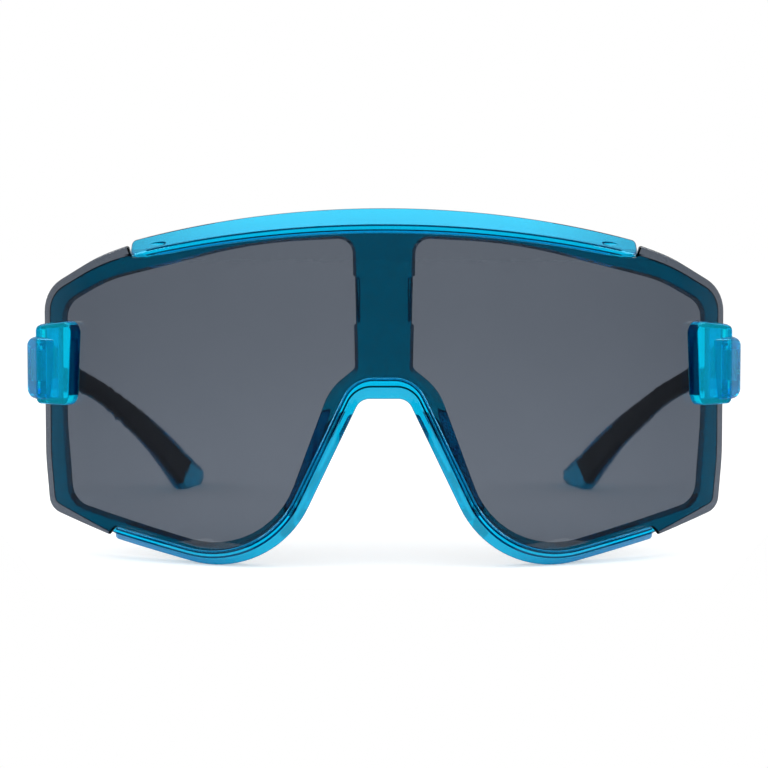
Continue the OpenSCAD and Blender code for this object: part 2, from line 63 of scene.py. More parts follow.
# The photographer's place: half a metre ahead of the glasses, at the height of their brow, looking a little
# down through a long lens.
camera_data = bpy.data.cameras.new("camera")
camera_data.sensor_width = 36
camera_data.lens = 112.5
camera_data.clip_start = 0.01
camera = bpy.data.objects.new("camera", camera_data)
camera.location = (0, -0.5576, 0.0716)
camera.rotation_euler = (radians(85.94), 0, 0)
bpy.context.scene.collection.objects.link(camera)
bpy.context.scene.camera = camera
bpy.context.scene.view_settings.view_transform = "Standard"
bpy.context.scene.cycles.max_bounces = 24
bpy.context.scene.cycles.transmission_bounces = 24
bpy.context.scene.cycles.glossy_bounces = 12

# The room: white behind and above, which shows in the picture and through the plastic, and a dim studio
# ahead, which is what the polished faces mirror.
room_light = 0.75
mirror_fades = [(0, "Y", -0.2, 0.6, 0.02, 0.6), (1, "Z", 0.5, 0.95, 0, 1.5)]
world = bpy.data.worlds.new("room")
world.use_nodes = True
bpy.context.scene.world = world
tree = world.node_tree
tree.nodes.clear()
path = tree.nodes.new("ShaderNodeLightPath")
direct = tree.nodes.new("ShaderNodeMath")
direct.operation = "MAXIMUM"
tree.links.new(path.outputs["Is Camera Ray"], direct.inputs[0])
tree.links.new(path.outputs["Is Transmission Ray"], direct.inputs[1])
way = tree.nodes.new("ShaderNodeTexCoord")
split = tree.nodes.new("ShaderNodeSeparateXYZ")
tree.links.new(way.outputs["Generated"], split.inputs[0])
walls = tree.nodes.new("ShaderNodeMath")
walls.operation = "MAXIMUM"
for slot, axis, low, high, dark, bright in mirror_fades:
    fade = tree.nodes.new("ShaderNodeMapRange")
    fade.inputs["From Min"].default_value = low
    fade.inputs["From Max"].default_value = high
    fade.inputs["To Min"].default_value = dark
    fade.inputs["To Max"].default_value = bright
    tree.links.new(split.outputs[axis], fade.inputs["Value"])
    tree.links.new(fade.outputs["Result"], walls.inputs[slot])
mirrored = tree.nodes.new("ShaderNodeBackground")
tree.links.new(walls.outputs[0], mirrored.inputs["Strength"])
soft = tree.nodes.new("ShaderNodeBackground")
soft.inputs["Strength"].default_value = room_light
white = tree.nodes.new("ShaderNodeBackground")
for sky in (mirrored, soft, white):
    sky.inputs["Color"].default_value = (1, 1, 1, 1)
lit = tree.nodes.new("ShaderNodeMixShader")
tree.links.new(path.outputs["Is Glossy Ray"], lit.inputs[0])
tree.links.new(soft.outputs[0], lit.inputs[1])
tree.links.new(mirrored.outputs[0], lit.inputs[2])
shown = tree.nodes.new("ShaderNodeMixShader")
tree.links.new(direct.outputs[0], shown.inputs[0])
tree.links.new(lit.outputs[0], shown.inputs[1])
tree.links.new(white.outputs[0], shown.inputs[2])
room_out = tree.nodes.new("ShaderNodeOutputWorld")
tree.links.new(shown.outputs[0], room_out.inputs["Surface"])

# The table top: a pale sheet that widens away from the camera, so that the lens doesn't mirror it. It takes
# a faint shadow, and glows where it is looked at, straight or through the plastic, so that it shows white.
table_corners = [(-0.065, -0.1, 0), (0.065, -0.1, 0), (-0.9, 3, 0), (0.9, 3, 0)]
table_grey = 0.8
table_glow = 0.43
bpy.ops.object.select_all(action="DESELECT")
bpy.ops.mesh.primitive_plane_add(size=1)
table = bpy.context.object
table.name = "table"
for vertex, corner in zip(table.data.vertices, table_corners):
    vertex.co = corner
table_paint = bpy.data.materials.new("table_paint")
table_paint.use_nodes = True
tree = table_paint.node_tree
tree.nodes.clear()
matt = tree.nodes.new("ShaderNodeBsdfDiffuse")
matt.inputs["Color"].default_value = (table_grey, table_grey, table_grey, 1)
glow = tree.nodes.new("ShaderNodeEmission")
glow_sight = tree.nodes.new("ShaderNodeLightPath")
seen = tree.nodes.new("ShaderNodeMath")
seen.operation = "MAXIMUM"
glow_level = tree.nodes.new("ShaderNodeMath")
glow_level.operation = "MULTIPLY"
glow_level.inputs[1].default_value = table_glow
tree.links.new(glow_sight.outputs["Is Camera Ray"], seen.inputs[0])
tree.links.new(glow_sight.outputs["Is Transmission Ray"], seen.inputs[1])
tree.links.new(seen.outputs[0], glow_level.inputs[0])
tree.links.new(glow_level.outputs[0], glow.inputs["Strength"])
both = tree.nodes.new("ShaderNodeAddShader")
table_out = tree.nodes.new("ShaderNodeOutputMaterial")
tree.links.new(matt.outputs[0], both.inputs[0])
tree.links.new(glow.outputs[0], both.inputs[1])
tree.links.new(both.outputs[0], table_out.inputs["Surface"])
table.data.materials.append(table_paint)

# Soft boxes: a wide one over the glasses, which doesn't show in polished faces, and one at each side, which
# does.
for name, place, turn, size, power in [
        ("top_box", (0, -0.05, 0.8), (0, 0, 0), (0.9, 0.5), 1),
        ("left_box", (0.75, -0.35, 0.35), (0, 75, 25), (0.25, 0.7), 3),
        ("right_box", (-0.75, -0.35, 0.35), (0, -75, -25), (0.25, 0.7), 3)]:
    data = bpy.data.lights.new(name, "AREA")
    data.shape = "RECTANGLE"
    data.size, data.size_y = size
    data.energy = power
    lamp = bpy.data.objects.new(name, data)
    lamp.location = place
    lamp.rotation_euler = [radians(angle) for angle in turn]
    lamp.visible_glossy = name != "top_box"
    bpy.context.scene.collection.objects.link(lamp)

# The lens is one sheet of smoke plastic, wrapped round the face. Its top and bottom edges lie in the groove
# of the front, its sides stand free, and a notch in each side holds a clip block. It is cut flat, its edges
# are eased, and it is bent to its radius last.
half_w = 72
front_h = 72.5
wrap_r = 105
lens_t = 2
lens_ease = 0.25
lens_hold = 0.3
face_air = 0.1
edge_air = 0.15
slot_front = -face_air
slot_back = lens_t + face_air
lens_y = 1000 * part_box("shield_lens")[0].y
base_z = 0.191
overrun = 1


def placed(shares):
    return [(s[0] * half_w, s[1] * front_h, s[2] * front_h) for s in shares]


def flip(corner):
    return (-corner[0], corner[1], corner[2])


def both_sides(half):
    return half + [flip(corner) for corner in reversed(half) if corner[0] > 0]


def inward(a, b):
    along = (Vector(b[:2]) - Vector(a[:2])).normalized()
    return Vector((along.y, -along.x))


def moved_corner(a, b, c, w1, w2):
    n1, n2 = inward(a, b), inward(b, c)
    det = n1.x * n2.y - n1.y * n2.x
    grow = (-1 if det < 0 else 1) * (w1 + w2) / 2
    return (b[0] + (w1 * n2.y - w2 * n1.y) / det, b[1] + (n1.x * w2 - n2.x * w1) / det,
            max(b[2] + grow, b[2] * 0.25) if b[2] > 0 else 0)


def moved_loop(corners, w):
    n = len(corners)
    return [moved_corner(corners[i - 1], corners[i], corners[(i + 1) % n], w, w) for i in range(n)]


def rounded(corners, longest=2, steps=0):
    points = []
    for i, corner in enumerate(corners):
        a, b, c = (Vector(p[:2]) for p in (corners[i - 1], corner, corners[(i + 1) % len(corners)]))
        r = corner[2]
        if r <= 0:
            points.append(b)
            continue
        u, v = (a - b).normalized(), (c - b).normalized()
        half = acos(max(-1, min(1, u.dot(v)))) / 2
        reach = min(r / tan(half), (a - b).length / 2, (c - b).length / 2)
        r = reach * tan(half)
        middle = b + (u + v).normalized() * r / sin(half)
        start = b + u * reach - middle
        end = b + v * reach - middle
        turn = pi - 2 * half
        hand = 1 if start.x * end.y - start.y * end.x > 0 else -1
        n = steps or max(1, ceil(degrees(turn) / 9), ceil(r * turn / longest))
        for k in range(n + 1):
            angle = hand * turn * k / n
            points.append(middle + Vector((start.x * cos(angle) - start.y * sin(angle),
                                           start.x * sin(angle) + start.y * cos(angle))))
    return points


def wrap_y(r, x):
    return wrap_r - sqrt(r * r - x * x)


def chosen(piece):
    bpy.ops.object.select_all(action="DESELECT")
    piece.select_set(True)
    bpy.context.view_layer.objects.active = piece


def outward(piece):
    chosen(piece)
    bpy.ops.object.mode_set(mode="EDIT")
    bpy.ops.mesh.select_all(action="SELECT")
    bpy.ops.mesh.normals_make_consistent(inside=False)
    bpy.ops.object.mode_set(mode="OBJECT")
    return piece


def extruded(name, corners, move):
    bpy.ops.object.select_all(action="DESELECT")
    bpy.ops.mesh.primitive_circle_add(vertices=len(corners), fill_type="NGON")
    piece = bpy.context.object
    piece.name = name
    for vertex, corner in zip(piece.data.vertices, corners):
        vertex.co = corner
    bpy.ops.object.mode_set(mode="EDIT")
    bpy.ops.mesh.select_all(action="SELECT")
    bpy.ops.mesh.extrude_region_move(TRANSFORM_OT_translate={"value": move})
    bpy.ops.mesh.select_all(action="SELECT")
    bpy.ops.mesh.normals_make_consistent(inside=False)
    bpy.ops.object.mode_set(mode="OBJECT")
    return piece


def plate(name, points, front, back):
    return extruded(name, [(p[0], front, p[1]) for p in points], (0, back - front, 0))


def joined(piece, tool, operation):
    modifier = piece.modifiers.new("join", "BOOLEAN")
    modifier.operation = operation
    modifier.object = tool
    modifier.solver = "EXACT"
    chosen(piece)
    bpy.ops.object.modifier_apply(modifier="join")
    bpy.data.objects.remove(tool)
    return piece


def eased(piece, width, segments=3, angle=24, merge=True):
    chosen(piece)
    bpy.ops.object.mode_set(mode="EDIT")
    bpy.ops.mesh.select_all(action="SELECT")
    bpy.ops.mesh.remove_doubles(threshold=0.02)
    if merge:
        bpy.ops.mesh.dissolve_limited(angle_limit=radians(0.5), delimit={"NORMAL"})
    bpy.ops.object.mode_set(mode="OBJECT")
    bevel = piece.modifiers.new("edges", "BEVEL")
    bevel.width = width
    bevel.segments = segments
    bevel.limit_method = "ANGLE"
    bevel.angle_limit = radians(angle)
    bevel.use_clamp_overlap = False
    bpy.ops.object.modifier_apply(modifier="edges")


def wrapped(piece, span=75, step=1.5):
    chosen(piece)
    bpy.ops.object.mode_set(mode="EDIT")
    for k in range(int(2 * span / step) + 1):
        bpy.ops.mesh.select_all(action="SELECT")
        bpy.ops.mesh.bisect(plane_co=(k * step - span, 0, 0), plane_no=(1, 0, 0))
    bpy.ops.object.mode_set(mode="OBJECT")
    for vertex in piece.data.vertices:
        vertex.co.y = wrap_y(wrap_r - vertex.co.y, vertex.co.x)


def settled(piece, angle=34):
    chosen(piece)
    piece.scale = (0.001, 0.001, 0.001)
    piece.location = (0, lens_y / 1000, base_z / 1000)
    bpy.ops.object.transform_apply()
    bpy.ops.object.shade_smooth_by_angle(angle=radians(angle))
    flats = piece.modifiers.new("flats", "WEIGHTED_NORMAL")
    flats.keep_sharp = True
    bpy.ops.object.modifier_apply(modifier="flats")


def arch(z, fall, x_end, steps=24):
    r = (brow_end ** 2 + fall ** 2) / (2 * fall)
    xs = [x_end * k / steps for k in range(steps + 1)]
    return [(x, z - r + sqrt(r * r - x * x), 0) for x in xs]


def rim_line(widths):
    a, b, c = rim_corners
    n = inward(a, b)
    first = (a[0] + n.x * widths[0], a[1] + n.y * widths[0], a[2])
    return [first, moved_corner(a, b, c, widths[0], widths[1]),
            moved_corner(b, c, flip(c), widths[1], widths[2])]


side_corners = placed([[0.824, 0.863, 0.55], [1, 0.763, 0.11], [1, 0.276, 0.8], [0.986, 0.123, 0.048]])
top_notch = placed([[0.731, 0.895, 0.007]])[0]
low_notch = placed([[0.793, 0.064, 0.006]])[0]
rim_corners = placed([[0.78, 0.0535, 0.012], [0.3153, -0.0455, 0.317], [0.066, 0.472, 0.041]])
brow_end = 0.722 * half_w
lip_z = 0.931 * front_h
lip_fall = 0.083 * front_h
end_r = 0.048 * front_h
lip_ws = [0.0405 * front_h, 0.047 * front_h, 0.062 * front_h]


def lens_outline(hold):
    top = arch(lip_z + hold, lip_fall, brow_end - end_r)
    side = [(brow_end - edge_air, top[-1][1], 0.007 * front_h), top_notch] + side_corners + [low_notch]
    return both_sides(top + side + rim_line([w - hold for w in lip_ws]))


clip_z = 40.3
clip_h = 17.9
clip_w = 11.4
clip_lap = 1.2
clip_shares = [[-1, 0.5, 0.13], [1, 0.42, 0.07], [1, -0.5, 0.07], [-0.9, -0.5, 0.13]]
edge_turn = asin(half_w / wrap_r)


def clip_slab(name, w, over, front, back, inset=0):
    corners = [(over if s[0] > 0 else s[0] * w, clip_z + s[1] * clip_h, s[2] * clip_h) for s in clip_shares]
    return plate(name, rounded(moved_loop(corners, inset), 0.8), front, back)


def edge_plug(name, inset):
    piece = clip_slab(name, clip_w, clip_lap + 2 * lens_t, slot_front - overrun, slot_back + overrun, inset)
    wrapped(piece, 15, 0.75)
    chosen(piece)
    piece.rotation_euler.z = edge_turn
    piece.location = (half_w, wrap_y(wrap_r, half_w), 0)
    bpy.ops.object.transform_apply()
    return piece


def twin(piece, name):
    chosen(piece)
    bpy.ops.object.duplicate()
    other = bpy.context.object
    other.name = name
    other.scale.x = -1
    bpy.ops.object.transform_apply()
    return outward(other)


def new_finish(name):
    finish = bpy.data.materials.new(name)
    finish.use_nodes = True
    return finish, finish.node_tree, finish.node_tree.nodes["Principled BSDF"]


def grain(tree, scale, detail=2, stretch=(1, 1, 1)):
    place = tree.nodes.new("ShaderNodeTexCoord")
    pull = tree.nodes.new("ShaderNodeMapping")
    pull.inputs["Scale"].default_value = stretch
    noise = tree.nodes.new("ShaderNodeTexNoise")
    noise.inputs["Scale"].default_value = scale
    noise.inputs["Detail"].default_value = detail
    tree.links.new(place.outputs["Object"], pull.inputs["Vector"])
    tree.links.new(pull.outputs["Vector"], noise.inputs["Vector"])
    return noise.outputs["Fac"]


def between(tree, source, low, high, start=0.3, end=0.7):
    spread = tree.nodes.new("ShaderNodeMapRange")
    spread.inputs["From Min"].default_value = start
    spread.inputs["From Max"].default_value = end
    spread.inputs["To Min"].default_value = low
    spread.inputs["To Max"].default_value = high
    tree.links.new(source, spread.inputs["Value"])
    return spread.outputs["Result"]


def mixed(tree, factor, first, second):
    mix = tree.nodes.new("ShaderNodeMix")
    mix.data_type = "RGBA"
    tree.links.new(factor, mix.inputs["Factor"])
    for socket, colour in ((mix.inputs["A"], first), (mix.inputs["B"], second)):
        if isinstance(colour, tuple):
            socket.default_value = (*colour, 1)
        else:
            tree.links.new(colour, socket)
    return mix.outputs["Result"]


def raised(tree, shader, source, strength, depth):
    bump = tree.nodes.new("ShaderNodeBump")
    bump.inputs["Strength"].default_value = strength
    bump.inputs["Distance"].default_value = depth
    tree.links.new(source, bump.inputs["Height"])
    tree.links.new(bump.outputs["Normal"], shader.inputs["Normal"])


def clear_plastic(name, tint, deep, rim, absorb, ior, clear=1, gloss=(1, 1, 1)):
    finish, tree, shader = new_finish(name)
    shader.inputs["Transmission Weight"].default_value = clear
    shader.inputs["IOR"].default_value = ior
    shader.inputs["Specular Tint"].default_value = (*gloss, 1)
    flow = mixed(tree, between(tree, grain(tree, 70), 0, 1), tint, deep)
    # Where a face is seen edge-on, the base colour turns to the third colour given: painted shade, standing
    # in for the dark refractions along the plastic's edges.
    facing = tree.nodes.new("ShaderNodeLayerWeight")
    facing.inputs["Blend"].default_value = 0.5
    edge_shade_share = between(tree, facing.outputs["Facing"], 0, 1, 0.42, 0.65)
    tree.links.new(mixed(tree, edge_shade_share, flow, rim), shader.inputs["Base Color"])
    tree.links.new(between(tree, grain(tree, 350, 4), 0.012, 0.05), shader.inputs["Roughness"])
    raised(tree, shader, grain(tree, 900), 0.12, 0.00001)
    body = tree.nodes.new("ShaderNodeVolumeAbsorption")
    most = max(absorb)
    body.inputs["Density"].default_value = most
    body.inputs["Color"].default_value = [1 - a / most for a in absorb] + [1]
    tree.links.new(body.outputs[0], tree.nodes["Material Output"].inputs["Volume"])
    return finish


smoke = clear_plastic("smoke_plastic", (0.40, 0.43, 0.47), (0.39, 0.42, 0.46), (0.05, 0.055, 0.065),
                      (600, 565, 510), 1.58)
lens = plate("lens_sheet", rounded(lens_outline(lens_hold)), 0, lens_t)
eased(lens, lens_ease)
wrapped(lens)
notch = edge_plug("notch", clip_lap)
joined(lens, twin(notch, "other_notch"), "DIFFERENCE")
joined(lens, notch, "DIFFERENCE")
settled(lens)
lens.data.materials.append(smoke)
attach(lens, "front")
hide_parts("shield_lens")

# The front is one moulding of clear blue plastic: the brow bar, the rims and the bridge behind the lens, the
# lips over and under it, and two nose pads. The lens drops into its groove. It is built flat like the lens,
# wrapped, and then gets its pads, the fine lines in its lips and a hollow near each end of the brow. The
# lines, the hollows' walls, the pads' tops and the plate's edge are painted dark navy as painted shade.
plate_t = 2.6
plate_back = slot_back + plate_t
plate_z = 0.962 * front_h
lip_front = slot_front - 1.2
lip_hold = 0.7
side_inset = 1.7
top_fall = 0.0925 * front_h
crease_z = 0.953 * front_h
crease_slope = 0.8
crease_ws = [0.02 * front_h, 0.0275 * front_h, 0.0345 * front_h]
front_ease = 0.3
eye_corners = placed([
    [0.089, 0.916, 0.039], [0.361, 0.902, 2.07], [0.792, 0.793, 0.41], [0.922, 0.72, 0.069],
    [0.925, 0.386, 0.8], [0.907, 0.147, 0.062], [0.333, 0.012, 0.25], [0.154, 0.497, 0.166],
    [0.082, 0.556, 0.021]])
eye_draft = [0.7, 0.7, 0.7, 0.7, 0.7, 0.8, 1.8, 1.4, 0.8]
scallop_x = 0.088 * half_w
scallop_z = 0.745 * front_h
scallop_w = 0.021 * front_h
scallop_h = 0.066 * front_h
painted_shade_mark, bevel_lit_mark = 1, 2


def lofted(name, rings):
    bpy.ops.object.select_all(action="DESELECT")
    bpy.ops.mesh.primitive_circle_add(vertices=len(rings[0]), fill_type="NGON")
    piece = bpy.context.object
    piece.name = name
    bpy.ops.object.mode_set(mode="EDIT")
    bpy.ops.mesh.select_all(action="SELECT")
    for _ in rings[1:]:
        bpy.ops.mesh.extrude_region_move(TRANSFORM_OT_translate={"value": (0, 0, 1)})
    bpy.ops.object.mode_set(mode="OBJECT")
    for vertex, corner in zip(piece.data.vertices, [corner for ring in rings for corner in ring]):
        vertex.co = corner
    return outward(piece)


def slanted(name, points, slope, front=-5, back=9):
    corners = [(p[0], front, p[1] + slope * (front - lip_front)) for p in points]
    return extruded(name, corners, (0, back - front, slope * (back - front)))


def brow_band(z, w):
    half = arch(z, lip_fall, brow_end - end_r) + arch(z - w, lip_fall, brow_end - end_r)[::-1]
    return rounded(both_sides(half))


def low_band(outer, inner):
    return rounded(both_sides(rim_line(outer)) + both_sides(rim_line(inner))[::-1], steps=18)


side_run = [top_notch] + side_corners + [low_notch]
plate_half = arch(plate_z, top_fall, brow_end - end_r)
for a, b, c in zip(side_run, side_run[1:], side_run[2:]):
    plate_half.append(moved_corner(a, b, c, side_inset, side_inset))
plate_half += rim_line([w / 2 for w in crease_ws])
front = plate("front_moulding", rounded(both_sides(plate_half)), slot_back, plate_back)
eye_n = len(eye_corners)
eye_front = [moved_corner(eye_corners[k - 1], eye_corners[k], eye_corners[(k + 1) % eye_n],
                          -eye_draft[k - 1], -eye_draft[k]) for k in range(eye_n)]
eye_levels = [(slot_front, eye_front), (slot_back, eye_front), (plate_back, eye_corners),
              (2 * plate_back, eye_corners)]
for side in (1, -1):
    rings = [[(side * p[0], depth, p[1]) for p in rounded(corners, steps=12)]
             for depth, corners in eye_levels]
    joined(front, lofted("eye", rings), "DIFFERENCE")
    scallop = [(side * (scallop_x + s[0] * scallop_w), scallop_z + s[1] * scallop_h, scallop_w / 2)
               for s in [[-1, -1], [-1, 1], [1, 1], [1, -1]]]
    bite = plate("scallop", rounded(scallop, 0.5), slot_back + plate_t / 2, 2 * plate_back)
    joined(front, bite, "DIFFERENCE")

brow_low = arch(lip_z, lip_fall, brow_end - 2 * end_r)
brow_side = [(brow_end, front_h - top_fall, 0.016 * front_h),
             (brow_end, brow_low[-1][1] - lip_fall / 10, end_r)]
brow_half = arch(front_h, top_fall, brow_end - end_r) + brow_side + brow_low[::-1]
brow = plate("brow", rounded(both_sides(brow_half)), lip_front, plate_back)
crease = arch(crease_z, lip_fall, brow_end + overrun) + [(brow_end + overrun, 0, 0)]
joined(brow, slanted("crease", both_sides(crease), crease_slope), "INTERSECT")

bevel_depth = 0.9
flush = [0, 0, 0]
low_levels = [(lip_front, crease_ws), (bevel_depth, flush), (plate_back, flush)]
low = lofted("low", [[(p[0], depth, p[1]) for p in low_band(outer, lip_ws)] for depth, outer in low_levels])
# The lower bevel takes a less clear, brighter copy of the blue plastic: painted light on that band.
for face in low.data.polygons:
    if -0.95 < face.normal.y < -0.2:
        face.material_index = bevel_lit_mark
groove = rounded(moved_loop(lens_outline(lip_hold), -edge_air))
for lip in (brow, low):
    joined(lip, plate("groove", groove, slot_front, slot_back), "DIFFERENCE")
    joined(front, lip, "UNION")
eased(front, front_ease)

# The plate's outer edge, seen through the lens, is painted dark navy: a painted shade line. The lower
# bevel keeps its brighter copy of the plastic, a painted light, except where it turns up to the saddle,
# which stays clear.
eye_x = 0.5 * half_w
eye_z = 0.47 * front_h
saddle_foot = 0.36 * front_h
for face in front.data.polygons:
    out_x = abs(face.center.x) - eye_x
    away = face.normal.x * (out_x if face.center.x > 0 else -out_x) + face.normal.z * (face.center.z - eye_z)
    on_edge = slot_back - 0.05 < face.center.y < slot_back + 0.35
    if on_edge and -0.97 < face.normal.y < -0.1 and away > 0:
        face.material_index = painted_shade_mark
wrapped(front)
for face in front.data.polygons:
    if face.material_index == bevel_lit_mark and face.center.z > saddle_foot:
        face.material_index = 0

pad_t = 1.9
pad_d = 6.5
pad_h = 0.155 * front_h
pad_z = 0.285 * front_h
pad_crest = 0.8 * pad_h
pad_round = 0.7 * pad_h
pad_shade_rise = 0.35 * pad_h
pad_turn = -14
pad_ease = 0.5
nose_foot, nose_top = (Vector(c[:2]) for c in rim_corners[1:])
up_nose = (nose_top - nose_foot).normalized()
off_nose = Vector((up_nose.y, -up_nose.x))
pad_middle = nose_foot + up_nose * (pad_z - nose_foot.y) / up_nose.y
pad_y = wrap_y(wrap_r - slot_back, pad_middle.x)
pad = plate("pad", [pad_middle + up_nose * s[0] * pad_h / up_nose.y + off_nose * s[1] * pad_t
                    for s in [[-1, 0], [1, 0], [1, 1], [-1, 1]]], 0, 2 * pad_d)
for vertex in pad.data.vertices:
    vertex.co.x -= pad_middle.x
pad.rotation_euler.z = radians(pad_turn)
pad.location = (pad_middle.x, pad_y, 0)
chosen(pad)
bpy.ops.object.transform_apply()
pad_side = [(plate_t / 2, pad_h, 0), (plate_t + pad_d, pad_crest, pad_round),
            (plate_t + pad_d, -pad_crest, pad_round), (plate_t / 2, -pad_h, 0)]
pad_space = extruded("pad_side", [(0, p[0] + pad_y, p[1] + pad_z) for p in rounded(pad_side)], (half_w, 0, 0))
joined(pad, pad_space, "INTERSECT")
eased(pad, pad_ease)
# The pads' upper ends are painted dark navy: painted shade where they meet the saddle.
for face in pad.data.polygons:
    if face.center.z - pad_z > pad_shade_rise:
        face.material_index = painted_shade_mark

blue_absorb = (800, 32, 11)
blue_gloss = (0.4, 0.85, 1)
blue = clear_plastic("blue_plastic", (0.02, 0.62, 0.9), (0.018, 0.6, 0.885), (0.0, 0.02, 0.06),
                     blue_absorb, 1.55, 0.9, blue_gloss)
# A dark navy copy of the plastic: painted shade for the dark lines and patches that refraction throws.
painted_shade_blue = clear_plastic("painted_shade_plastic", (0.0, 0.05, 0.13), (0.0, 0.04, 0.12), (0.0, 0.01, 0.03),
                          blue_absorb, 1.55, 0.9, blue_gloss)
# A brighter, less clear copy of the blue plastic for the lower bevel: painted light.
bevel_lit_blue = clear_plastic("bevel_lit_plastic", (0.0, 0.6, 0.95), (0.0, 0.58, 0.94), (0.0, 0.3, 0.7),
                           blue_absorb, 1.55, 0.4, blue_gloss)
for finish in (blue, painted_shade_blue, bevel_lit_blue):
    front.data.materials.append(finish)
joined(front, twin(pad, "other_pad"), "UNION")
joined(front, pad, "UNION")

wide = 0.35
fine = 0.25
line_depth = 0.35
line_rise = 0.2
line_in = 0.65
fine_z = 0.942 * front_h
fine_ws = [w - line_in for w in lip_ws]
lip_lines = [brow_band(crease_z + line_rise, wide), brow_band(fine_z, fine),
             low_band(crease_ws, [w + wide for w in crease_ws]),
             low_band(fine_ws, [w + fine for w in fine_ws])]
# Each line is a shallow cut whose faces are painted dark navy: painted shade in the lips' creases.
for points in lip_lines:
    line = plate("lip_line", points, lip_front - overrun, lip_front + line_depth)
    for face in line.data.polygons:
        face.material_index = painted_shade_mark
    wrapped(line)
    joined(front, line, "DIFFERENCE")

hollow_x = 0.64 * half_w
hollow_up = 1.5
hollow_half_w = 1.7
hollow_half_h = 0.6
hollow_depth = 0.35
up_slope = Vector((0, 1, crease_slope)).normalized()
off_slope = Vector((0, -crease_slope, 1)).normalized()
hollow_z = arch(crease_z, lip_fall, hollow_x, 1)[1][1]
for side in (1, -1):
    middle = Vector((side * hollow_x, lip_front, hollow_z)) + up_slope * hollow_up
    oval = [middle + off_slope + Vector((hollow_half_w * cos(k * pi / 12), 0, 0))
            + up_slope * hollow_half_h * sin(k * pi / 12) for k in range(24)]
    hollow = extruded("dimple", oval, -(1 + hollow_depth) * off_slope)
    for face in hollow.data.polygons:
        # The hollows' side walls are painted dark navy as painted shade; their floors keep the blue.
        face.material_index = painted_shade_mark if abs(face.normal.dot(off_slope)) < 0.5 else 0
    wrapped(hollow, 60, 1)
    joined(front, hollow, "DIFFERENCE")


def one_shell(piece):
    chosen(piece)
    bpy.ops.object.mode_set(mode="EDIT")
    bpy.ops.mesh.select_all(action="SELECT")
    bpy.ops.mesh.remove_doubles(threshold=0.004)
    bpy.ops.mesh.select_all(action="DESELECT")
    bpy.ops.object.mode_set(mode="OBJECT")
    max(piece.data.polygons, key=lambda face: face.area).select = True
    bpy.ops.object.mode_set(mode="EDIT")
    bpy.ops.mesh.select_linked()
    bpy.ops.mesh.select_all(action="INVERT")
    bpy.ops.mesh.delete(type="FACE")
    bpy.ops.mesh.select_all(action="SELECT")
    bpy.ops.mesh.fill_holes(sides=0)
    bpy.ops.object.mode_set(mode="OBJECT")


one_shell(front)
settled(front)
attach(front, "front")
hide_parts("frame_front")

# An end piece is a clear blue clip block: its front wall laps over the lens's notch, its back wall grips the
# rim, and a raised boss on it runs back as the arm that holds the hinge leaf. Its inner side wall is painted
# dark navy, and the boss's faces turned up, down and inward darker blue: both painted shade.
part_gap = 0.1
turn_gap = 0.15
front_wall = 2.4
front_over = 0.1
rear_wall = 1.6
rear_w = 5.4
rear_over = 2.2
rear_inset = 0.03
block_ease = 0.5
rear_ease = 0.4
arm_ease = 0.7
outer_share = 0.45
clip_front = slot_front - front_wall
clip_back = plate_back + part_gap + rear_wall
arm_out = half_w + 4
head_t = 5.7
arm_in = arm_out - head_t
arm_h = 13.2
arm_top = clip_z + clip_h / 2 - 3.8
arm_low = arm_top - arm_h
joint_top = arm_top - 1.7
joint_y = wrap_y(wrap_r, half_w) + 15.4
boss_rise = 0.9
boss_in = half_w - 3.1
boss_w = arm_out - boss_in
boss_mid = boss_in + boss_w / 2 + boss_rise
outer_r = outer_share * head_t


def front_y(x):
    return wrap_y(wrap_r - clip_front, x)


def back_y(x):
    return wrap_y(wrap_r - clip_back, x)


block = clip_slab("end_block_left", clip_w, front_over, clip_front, slot_back)
eased(block, block_ease)
back_wall = clip_slab("back_wall", rear_w, rear_over, slot_front, clip_back, rear_inset)
eased(back_wall, rear_ease)
joined(block, back_wall, "UNION")
block_middle = clip_w / 2
block_turn = edge_turn - block_middle / wrap_r
block_along = Vector((cos(block_turn), sin(block_turn), 0))
block_deep = Vector((-sin(block_turn), cos(block_turn), 0))
block_place = Vector((wrap_r * sin(block_turn) + block_middle * cos(block_turn),
                      wrap_r - wrap_r * cos(block_turn) + block_middle * sin(block_turn), 0))
block.rotation_euler.z = block_turn
block.location = block_place
chosen(block)
bpy.ops.object.transform_apply()

arm_plan = [(boss_in, front_y(boss_in), 0), (boss_mid, front_y(boss_mid) - boss_rise, outer_r),
            (arm_out, front_y(arm_out) + boss_rise, outer_r), (arm_out, joint_y - turn_gap, 0),
            (arm_in, joint_y - turn_gap, 0), (arm_in, back_y(arm_in) - rear_wall, 0),
            (boss_in, back_y(boss_in) - rear_wall, 0)]
arm = extruded("arm", [(p[0], p[1], arm_low) for p in rounded(arm_plan, 0.6)], (0, 0, arm_h))
eased(arm, arm_ease, segments=4)
boss_face = [(boss_in, arm_top, outer_r / 2), (arm_out, arm_top, outer_r), (arm_out, arm_low, outer_r),
             (boss_in + boss_w * 0.2, arm_low, outer_r / 2)]
joined(arm, plate("face", rounded(boss_face, 0.6), 0, joint_y), "INTERSECT")
arm_side = [(0, arm_low), (0, arm_top), (front_y(arm_out), arm_top), (joint_y, joint_top), (joint_y, arm_low)]
arm_space = extruded("fall", [(half_w / 2, p[0], p[1]) for p in arm_side], (half_w, 0, 0))
joined(arm, arm_space, "INTERSECT")
joined(block, arm, "UNION")


def room_at_edge(name, out, front_d, back_d, reach=15, half_h=14):
    room = [(out - reach, clip_z - half_h), (out - reach, clip_z + half_h), (out, clip_z + half_h),
            (out, clip_z - half_h)]
    piece = plate(name, room, front_d, back_d)
    wrapped(piece)
    return piece


